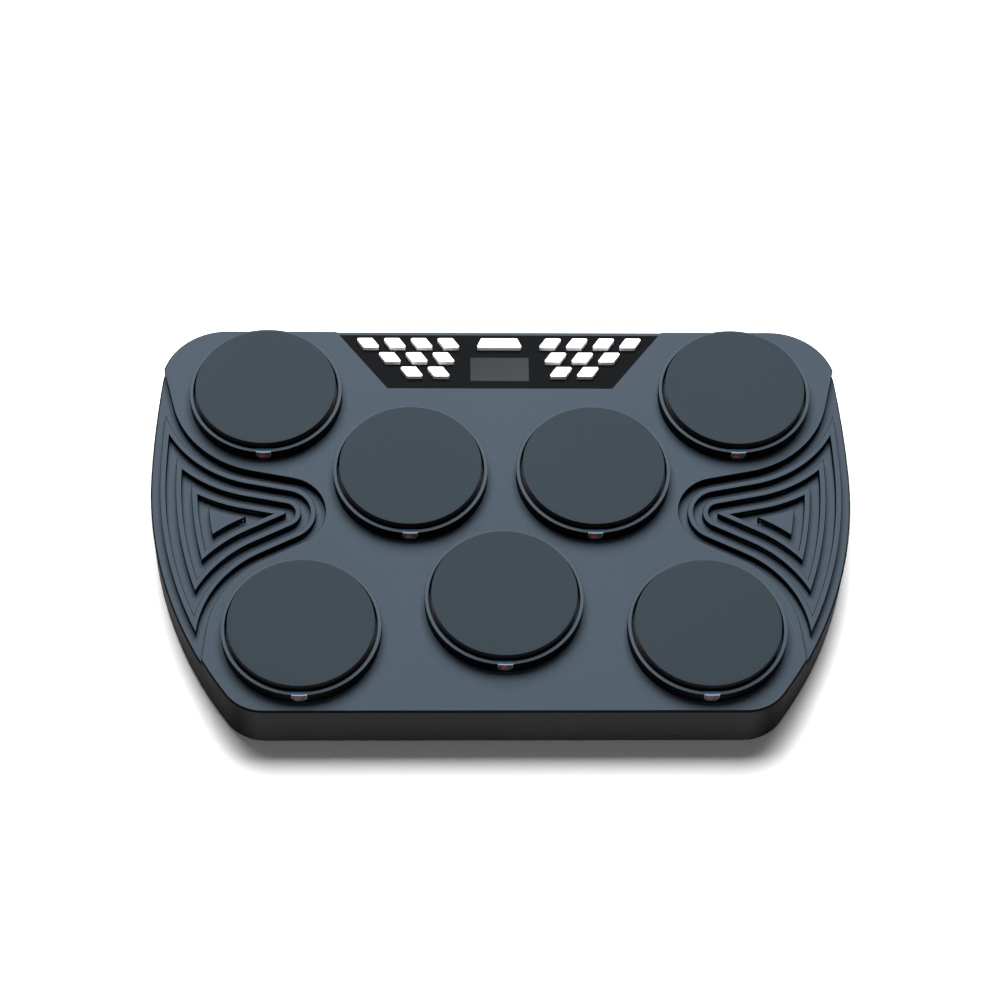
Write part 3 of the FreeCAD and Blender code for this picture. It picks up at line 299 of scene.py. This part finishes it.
def housing_black():
    finish = Finish("housing_black", specular=0.01)
    speck = finish.noise(2400.0, 1.0)
    drift = finish.noise(7.0, 2.0)
    front = finish.between(drift, tone(46, 45, 45), tone(52, 51, 51))
    # painted shade: walls that face sideways get a darker, browner colour than the front
    flank_shade = finish.between(drift, tone(19, 17, 15), tone(24, 21, 19))
    sideways_shade = finish.absolute(finish.axis(finish.normal, "X"))
    base = finish.between(finish.span(sideways_shade, 0.12, 0.55), front, flank_shade)
    finish.colour(finish.between(finish.span(speck, 0.4, 0.7, 0.0, 0.3), base, tone(14, 13, 12)))
    finish.set("Roughness", finish.span(speck, 0.3, 0.7, 0.42, 0.55))
    finish.relief(speck, 0.03 * MM)
    return finish.material


def pad_rubber():
    """Moulded rubber: matte, with a very fine pebbled skin and painted shade on its sides."""
    finish = Finish("pad_rubber", specular=0.03)
    pebble = finish.cells(1800.0)
    drift = finish.noise(14.0, 3.0)
    top = finish.between(drift, tone(35, 43, 49), tone(38, 46, 52))
    top = finish.between(finish.span(pebble, 0.0, 0.6, 0.16, 0.0), top, tone(26, 31, 35))
    # painted shade: sides and undersides are nearly black, the top keeps the rubber's colour
    finish.colour(finish.between(finish.unshaded_upward(0.72, 0.92), tone(3, 3, 4), top))
    finish.set("Roughness", finish.span(pebble, 0.0, 0.6, 0.7, 0.58))
    finish.relief(pebble, 0.025 * MM)
    finish.set("Sheen Weight", 0.08)
    return finish.material


def plain_grain(name, dark, light, rough, specular=0.4, grain=1500.0, depth=0.02 * MM,
                metal=0.0):
    """A small part's finish: two tones, a grain and an uneven gloss."""
    finish = Finish(name, specular=specular, metal=metal)
    speck = finish.noise(grain, 2.0)
    drift = finish.noise(60.0, 2.0)
    mixed = finish.maths("MULTIPLY", finish.span(speck, 0.3, 0.7), finish.span(drift, 0.2, 0.8))
    finish.colour(finish.between(mixed, dark, light))
    finish.set("Roughness", finish.span(speck, 0.3, 0.7, rough - 0.06, rough + 0.08))
    finish.relief(speck, depth)
    return finish.material


def lens_clear():
    """Clear acrylic: a smoky front, a painted teal reflection on top, painted highlights where
    facets meet.
    """
    finish = Finish("lens_clear", specular=0.03)
    streak = finish.noise(1.0, 1.0, finish.stretch(300.0, 300.0, 2500.0))
    upright = finish.axis(finish.normal, "Z")
    smoky = finish.between(finish.span(streak, 0.4, 0.6), tone(84, 80, 82), tone(98, 95, 97))
    # painted highlights: side chamfers and undersides are pale
    side_highlight = finish.span(finish.absolute(finish.axis(finish.normal, "X")), 0.25, 0.4)
    below = finish.span(upright, -0.3, -0.15, 1.0, 0.0)
    edge = finish.maths("MAXIMUM", side_highlight, below)
    body = finish.between(edge, smoky, tone(128, 128, 132))
    # painted highlight: the upper chamfer is a pale blue-white
    upper_highlight = finish.span(upright, 0.3, 0.4)
    body = finish.between(upper_highlight, body, tone(176, 192, 204))
    # painted reflection: the top face is teal
    finish.colour(finish.between(finish.span(upright, 0.85, 0.95), body, tone(30, 66, 86)))
    finish.set("Alpha", finish.span(finish.maths("MAXIMUM", edge, upper_highlight), 0.0, 1.0, 0.66, 0.96))
    finish.set("Roughness", finish.span(streak, 0.3, 0.7, 0.15, 0.28))
    return finish.material


def lamp_red():
    """The lit face of a red lamp, brighter in random patches."""
    finish = Finish("lamp_red", rough=0.3)
    glow = finish.noise(700.0, 1.0)
    finish.colour(finish.between(glow, tone(150, 16, 12), tone(200, 30, 22)))
    finish.set("Emission Color", finish.between(glow, tone(230, 24, 16), tone(255, 62, 44)))
    finish.set("Emission Strength", 1.1)
    return finish.material


def open_foam():
    """Open-cell foam: painted shade in dark pores between pale walls."""
    finish = Finish("foam_grey", rough=0.95, specular=0.1)
    pores = finish.cells(1400.0)
    # painted shade: the pores are dark, the walls between them pale
    finish.colour(finish.between(finish.span(pores, 0.1, 0.55), tone(38, 38, 40),
                                 tone(84, 84, 86)))
    finish.relief(pores, 0.25 * MM)
    return finish.material


def brushed(name, dark, light, rough, along):
    """Metal with fine scratches; along scales the coordinates, least along the scratches."""
    finish = Finish(name, metal=1.0)
    scratch = finish.noise(1.0, 3.0, finish.stretch(*along))
    finish.colour(finish.between(scratch, dark, light))
    finish.set("Roughness", finish.span(scratch, 0.3, 0.7, rough - 0.08, rough + 0.1))
    finish.relief(scratch, 0.005 * MM)
    return finish.material


def panel_black():
    return plain_grain("panel_black", tone(12, 13, 15), tone(16, 17, 19), 0.55, 0.01, 2600.0,
                       0.01 * MM)


def display_smoke():
    """Smoked acrylic, a little paler towards the front edge."""
    low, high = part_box("display_window")
    finish = Finish("display_smoke", specular=0.02)
    along = finish.span(finish.axis(finish.place, "Y"), low.y, high.y, 1.0, 0.0)
    across = finish.span(finish.axis(finish.place, "X"), low.x, high.x)
    share = finish.maths("ADD", finish.maths("MULTIPLY", along, 0.6),
                         finish.maths("MULTIPLY", across, 0.4))
    finish.colour(finish.between(share, tone(33, 35, 38), tone(40, 43, 46)))
    finish.set("Roughness", finish.span(finish.noise(40.0), 0.3, 0.7, 0.22, 0.3))
    return finish.material


BOARD_THICK = 1.6 * MM
TRACKS_PER_METRE = 260.0


def circuit_green():
    """Green solder mask with paler tracks; what stands on the main board is black."""
    finish = Finish("circuit_green", specular=0.5)
    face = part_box("main_board")[0].z + BOARD_THICK
    tracks = finish.add("TexBrick", {"Vector": finish.place, "Scale": TRACKS_PER_METRE,
                                     "Mortar Size": 0.03, "Color1": tone(12, 74, 42),
                                     "Color2": tone(14, 82, 48), "Mortar": tone(24, 108, 62)})
    raised = finish.span(finish.axis(finish.place, "Z"), face + 0.1 * MM, face + 0.12 * MM)
    body = finish.between(finish.noise(900.0), tone(22, 22, 24), tone(38, 38, 40))
    finish.colour(finish.between(raised, tracks, body))
    finish.set("Roughness", finish.span(finish.noise(120.0), 0.3, 0.7, 0.28, 0.42))
    return finish.material


def cone_paper():
    """Pressed paper pulp, black, with loose fibres."""
    finish = Finish("cone_paper", rough=0.85, specular=0.2)
    fibre = finish.noise(1.0, 4.0, finish.stretch(900.0, 300.0, 600.0))
    finish.colour(finish.between(fibre, tone(20, 20, 21), tone(44, 43, 42)))
    finish.relief(fibre, 0.05 * MM)
    return finish.material


MATERIALS = {
    "shell_slate": shell_slate(),
    "collar_slate": collar_slate(),
    "housing_black": housing_black(),
    "pad_rubber": pad_rubber(),
    "carrier_black": plain_grain("carrier_black", tone(14, 14, 15), tone(26, 26, 27), 0.5),
    "lens_clear": lens_clear(),
    "lamp_board": plain_grain("lamp_board", tone(40, 10, 9), tone(70, 18, 15), 0.5),
    "lamp_red": lamp_red(),
    "foam_grey": open_foam(),
    "sensor_brass": brushed("sensor_brass", tone(176, 140, 74), tone(206, 172, 98), 0.35,
                            (400.0, 400.0, 400.0)),
    "panel_black": panel_black(),
    "display_smoke": display_smoke(),
    "display_dark": plain_grain("display_dark", tone(40, 44, 42), tone(56, 60, 58), 0.4),
    "membrane_grey": plain_grain("membrane_grey", tone(150, 150, 152), tone(176, 176, 178),
                                 0.6, 0.25),
    "button_white": plain_grain("button_white", tone(250, 250, 251), tone(255, 255, 255),
                                0.45, 0.3, 2600.0, 0.01 * MM),
    "circuit_green": circuit_green(),
    "socket_black": plain_grain("socket_black", tone(10, 10, 11), tone(22, 22, 23), 0.45),
    "socket_steel": brushed("socket_steel", tone(168, 170, 172), tone(206, 208, 210), 0.3,
                            (300.0, 300.0, 3000.0)),
    "speaker_basket": plain_grain("speaker_basket", tone(26, 26, 28), tone(42, 42, 44), 0.45),
    "magnet_dark": plain_grain("magnet_dark", tone(40, 40, 42), tone(58, 58, 60), 0.6),
    "cone_paper": cone_paper(),
    "battery_wrap": plain_grain("battery_wrap", tone(24, 52, 120), tone(34, 66, 140), 0.25,
                                0.5),
    "foot_rubber": plain_grain("foot_rubber", tone(12, 12, 12), tone(26, 26, 26), 0.75, 0.2),
    "screw_steel": brushed("screw_steel", tone(120, 122, 126), tone(168, 170, 174), 0.35,
                           (900.0, 900.0, 900.0)),
}


def dress_cad_nodes():
    """Give every CAD node the material of its slot in the record."""
    for row in RECORD["subparts"]:
        mesh = frame["nodes"][row["node"]].data
        mesh.materials.clear()
        mesh.materials.append(MATERIALS[row["material_slot"]])


# ---------------------------------------------------------------- building meshes
SMOOTH_ANGLE = math.radians(35.0)


def bend(centre, radius, start, end, steps=5):
    """Points on an arc in a (radius, height) profile, from start to end degrees."""
    points = []
    for step in range(steps + 1):
        angle = math.radians(start + (end - start) * step / steps)
        points.append((centre[0] + radius * math.cos(angle),
                       centre[1] + radius * math.sin(angle)))
    return points


def new_piece(name, build, body, slot, material=None):
    """An object whose mesh build fills, riding on a body with a slot's material."""
    mesh = bpy.data.meshes.new(name)
    shape = bmesh.new()
    build(shape)
    bmesh.ops.recalc_face_normals(shape, faces=shape.faces)
    shape.to_mesh(mesh)
    shape.free()
    mesh.polygons.foreach_set("use_smooth", [True] * len(mesh.polygons))
    mesh.set_sharp_from_angle(angle=SMOOTH_ANGLE)
    mesh.materials.append(MATERIALS[material or slot])
    piece = bpy.data.objects.new(name, mesh)
    SCENE.collection.objects.link(piece)
    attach(piece, body)
    return piece


def lathe(shape, profile, centre, steps=96):
    """Turn a closed (radius, height) profile about an upright axis through centre.

    A point on the axis, at either end of the profile, becomes the pole of a cap.
    """
    rings = []
    for radius, height in profile:
        if radius < 1e-7:
            rings.append([shape.verts.new((centre.x, centre.y, height))])
            continue
        ring = []
        for step in range(steps):
            angle = 2 * math.pi * step / steps
            ring.append(shape.verts.new((centre.x + radius * math.cos(angle),
                                         centre.y + radius * math.sin(angle), height)))
        rings.append(ring)
    closed = len(rings[0]) > 1
    for index in range(0 if closed else 1, len(rings)):
        first, second = rings[index - 1], rings[index]
        for step in range(steps):
            after = (step + 1) % steps
            corners = [first[step % len(first)], first[after % len(first)],
                       second[after % len(second)], second[step % len(second)]]
            shape.faces.new(list(dict.fromkeys(corners)))


# ---------------------------------------------------------------- strike pads
def middle_of(node):
    low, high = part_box(node)
    return (low + high) / 2


CAP_EDGE = 0.35 * MM
CAP_DISH = 0.1 * MM
CAP_WAIST = 0.25 * MM  # how far its side is drawn in between its two bands
CAP_UPPER_BAND = 1.6 * MM
CAP_LOWER_BAND = 1.0 * MM
CAP_SLOPE = 0.4 * MM  # height over which a band goes over into the waist
CAP_PLAY = 0.1 * MM


def pad_profile(rubber, carrier):
    """Section of a rubber cap from the middle of its top round to the middle below it."""
    low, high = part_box(rubber)
    radius = (high.x - low.x) / 2
    core_low, core_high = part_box(carrier)
    inner = (core_high.x - core_low.x) / 2 + CAP_PLAY
    under = core_high.z
    top = high.z
    waist = radius - CAP_WAIST
    profile = [(0.0, top - CAP_DISH), (radius * 0.3, top - CAP_DISH),
               (radius * 0.6, top - CAP_DISH), (radius * 0.8, top - CAP_DISH * 0.7),
               (radius * 0.93, top - CAP_DISH * 0.15)]
    profile += bend((radius - CAP_EDGE, top - CAP_EDGE), CAP_EDGE, 90, 0, 6)
    profile += [(radius, top - CAP_UPPER_BAND), (waist, top - CAP_UPPER_BAND - CAP_SLOPE),
                (waist, low.z + CAP_LOWER_BAND + CAP_SLOPE), (radius, low.z + CAP_LOWER_BAND)]
    profile += bend((radius - CAP_EDGE, low.z + CAP_EDGE), CAP_EDGE, 0, -90, 3)
    profile += bend((inner + CAP_EDGE, low.z + CAP_EDGE), CAP_EDGE, 270, 180, 3)
    profile += [(inner, under - 0.4 * MM), (inner - 0.4 * MM, under), (0.0, under)]
    return profile


def make_pad_caps():
    for pad in PADS:
        rubber, carrier = pad + "_pad_rubber", pad + "_pad_carrier"
        profile = pad_profile(rubber, carrier)
        centre = middle_of(rubber)
        cap = new_piece(pad + "_strike_cap",
                        lambda shape, p=profile, c=centre: lathe(shape, p, c, 128),
                        pad + "_pad", "pad_rubber")
        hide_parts(rubber)


def barrel(radius, low, high, inner=0.0, swell=0.35 * MM):
    """Section of a foam ring or puck whose sides bulge a little."""
    corner = min(0.5 * MM, (high - low) / 5)
    outer = bend((radius - corner, high - corner), corner, 90, 20, 3)
    outer += [(radius + swell * 0.6, (low + high) / 2)]
    outer += bend((radius - corner, low + corner), corner, -20, -90, 3)
    if inner > 0:
        hole = bend((inner + corner, low + corner), corner, 270, 200, 3)
        hole += [(inner - swell * 0.6, (low + high) / 2)]
        hole += bend((inner + corner, high - corner), corner, 160, 90, 3)
        return outer + hole
    return [(0.0, high)] + outer + [(0.0, low)]


RING_OUTER = 40.6 * MM
RING_INNER = 36.4 * MM
PUCK_RADIUS = 8.6 * MM


def make_foams():
    """The foam ring and puck under each pad."""
    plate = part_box("pad_foams")[0].z
    sensor_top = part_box("pad_sensors")[1].z
    puck_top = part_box("pad_foams")[1].z
    for pad in PADS:
        centre = middle_of(pad + "_pad_rubber")
        carrier_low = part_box(pad + "_pad_carrier")[0].z
        for word, radius, inner, low, high in (
            ("ring", RING_OUTER, RING_INNER, plate, carrier_low),
            ("puck", PUCK_RADIUS, 0.0, sensor_top, puck_top),
        ):
            profile = barrel(radius, low, high, inner)
            foam = new_piece("%s_foam_%s" % (pad, word),
                             lambda shape, p=profile, c=centre: lathe(shape, p, c, 72),
                             "root", "foam_grey")
            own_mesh(foam)
            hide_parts("pad_foams")


# ---------------------------------------------------------------- lenses and their lamps
LENS_EDGE = 0.4 * MM
LENS_WALL = 0.5 * MM
LENS_RIM = 0.7 * MM
LENS_STRIPS = 6  # to each side of its middle
PAD_REACH = 60.0 * MM  # a pad's own lens is nearer than this to its middle


def lens_sizes():
    """Half widths at a lens's corners and foot, its levels, and its faces' radii."""
    low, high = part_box("light_windows")
    points = [vert.co for vert in frame["nodes"]["light_windows"].data.vertices]
    centre = middle_of("front_centre_pad_rubber")
    mine = [point - centre for point in points if (point - centre).xy.length < PAD_REACH]
    outer = max(point.xy.length for point in mine)
    inner = min(point.xy.length for point in mine)
    half = max(point.x for point in mine)
    foot = max(point.x for point in mine if point.z + centre.z < low.z + 0.1 * MM)
    widest = [point.z + centre.z for point in mine if point.x > half - 0.1 * MM]
    return SimpleNamespace(half=half, foot=foot, low=low.z, corner=min(widest), top=high.z,
                           outer=outer, inner=inner)


def lens_shape(shape, centre, sizes):
    """A hexagonal lens, hollow behind, with a chamfered outline, bent to its collar."""
    half, foot = sizes.half, sizes.foot
    outline = [(-foot, sizes.low), (foot, sizes.low), (half, sizes.corner),
               (half, sizes.top), (-half, sizes.top), (-half, sizes.corner)]
    front = shape.faces.new([shape.verts.new((x, 0.0, z)) for x, z in outline])
    rims = list(front.edges)
    grown = bmesh.ops.extrude_face_region(shape, geom=[front])
    back = [item for item in grown["geom"] if isinstance(item, bmesh.types.BMFace)][0]
    for vert in back.verts:
        vert.co.y = sizes.outer - sizes.inner
    bmesh.ops.inset_region(shape, faces=[back], thickness=LENS_RIM)
    for vert in back.verts:
        vert.co.y = LENS_WALL
    bmesh.ops.bevel(shape, geom=rims, offset=LENS_EDGE, segments=1, affect="EDGES")
    for step in range(1 - LENS_STRIPS, LENS_STRIPS):
        bmesh.ops.bisect_plane(shape, geom=shape.verts[:] + shape.edges[:] + shape.faces[:],
                               plane_co=(step * half / LENS_STRIPS, 0, 0), plane_no=(1, 0, 0))
    for vert in shape.verts:
        radius = sizes.outer - vert.co.y
        vert.co.y = centre.y - math.sqrt(radius ** 2 - vert.co.x ** 2)
        vert.co.x += centre.x


def rounded_bar(shape, low, high, corner):
    """A block between two corners, with every edge rounded."""
    bmesh.ops.create_cube(shape, size=1.0)
    for vert in shape.verts:
        share = vert.co + Vector((0.5, 0.5, 0.5))
        vert.co = Vector([low[axis] + share[axis] * (high[axis] - low[axis])
                          for axis in range(3)])
    bmesh.ops.bevel(shape, geom=shape.edges[:], offset=corner, segments=2, affect="EDGES")


BAR_GAP = 0.1 * MM  # behind the lens's front wall
BAR_ASIDE = 0.8 * MM
BAR_DEEP = 0.6 * MM
BAR_HALF_TALL = 0.35 * MM
BAR_ROUND = 0.12 * MM


def make_lenses():
    """The clear window in each collar, and the two lit bars in its hollow."""
    sizes = lens_sizes()
    for pad in PADS:
        centre = middle_of(pad + "_pad_rubber")
        lens = new_piece(pad + "_lens",
                         lambda shape, c=centre: lens_shape(shape, c, sizes),
                         "root", "lens_clear")
        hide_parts("light_windows")
        front = centre.y - sizes.outer + LENS_WALL + BAR_GAP
        for word, level, half in (("upper", sizes.corner + 1.2 * MM, 1.9 * MM),
                                  ("lower", sizes.low + LENS_RIM + 0.6 * MM, 1.6 * MM)):
            start = (centre.x - half - BAR_ASIDE, front, level - BAR_HALF_TALL)
            end = (centre.x + half - BAR_ASIDE, front + BAR_DEEP, level + BAR_HALF_TALL)
            new_piece("%s_lamp_%s" % (pad, word),
                      lambda shape, a=start, b=end: rounded_bar(shape, a, b, BAR_ROUND),
                      "root", "lamp_board", "lamp_red")


# ---------------------------------------------------------------- key mat and gaskets
SHEET_THICK = 1.0 * MM
DOME_WALL = 0.8 * MM


def make_key_mat():
    """The silicone sheet over the control board, with a hollow dome under each button."""
    low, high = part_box("button_membrane")
    sheet_top = low.z + SHEET_THICK
    source = frame["nodes"]["button_membrane"].data

    def sheet(shape):
        shape.from_mesh(source)
        for vert in shape.verts:
            vert.co.z = min(vert.co.z, sheet_top)
        bmesh.ops.dissolve_limit(shape, angle_limit=math.radians(1.0), verts=shape.verts,
                                 edges=shape.edges)
        bmesh.ops.remove_doubles(shape, verts=shape.verts, dist=0.001 * MM)
        bmesh.ops.triangulate(shape, faces=shape.faces[:])

    mat = new_piece("key_mat_sheet", sheet, "root", "membrane_grey")
    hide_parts("button_membrane")
    top = high.z
    knee = sheet_top + 0.5 * MM
    foot = sheet_top + 0.02 * MM
    profile = [(0.0, top), (1.5 * MM, top), (1.9 * MM, top - 0.3 * MM), (2.2 * MM, knee),
               (2.9 * MM, foot), (2.4 * MM, foot), (1.8 * MM, knee),
               (1.5 * MM, top - DOME_WALL), (0.0, top - DOME_WALL)]
    for button in BUTTONS:
        centre = middle_of(button)
        dome = new_piece(button + "_dome",
                         lambda shape, c=centre: lathe(shape, profile, c, 32),
                         "root", "membrane_grey")
        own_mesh(dome)
        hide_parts("button_membrane")


GASKET_SWELL = -0.2 * MM  # its sides are drawn in


def make_gaskets():
    """The foam ring that seals each loudspeaker against the shell."""
    low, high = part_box("speaker_gaskets")
    outer = (high.y - low.y) / 2
    points = [vert.co for vert in frame["nodes"]["speaker_gaskets"].data.vertices]
    for word, x in (("left", low.x + outer), ("right", high.x - outer)):
        centre = Vector((x, (low.y + high.y) / 2, 0.0))
        inner = min((point - centre).xy.length for point in points)
        profile = barrel(outer, low.z, high.z, inner, GASKET_SWELL)
        ring = new_piece(word + "_speaker_gasket",
                         lambda shape, p=profile, c=centre: lathe(shape, p, c, 72),
                         "root", "foam_grey")
        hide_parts("speaker_gaskets")


make_camera()
make_studio()
dress_cad_nodes()
make_pad_caps()
make_foams()
make_lenses()
make_key_mat()
make_gaskets()
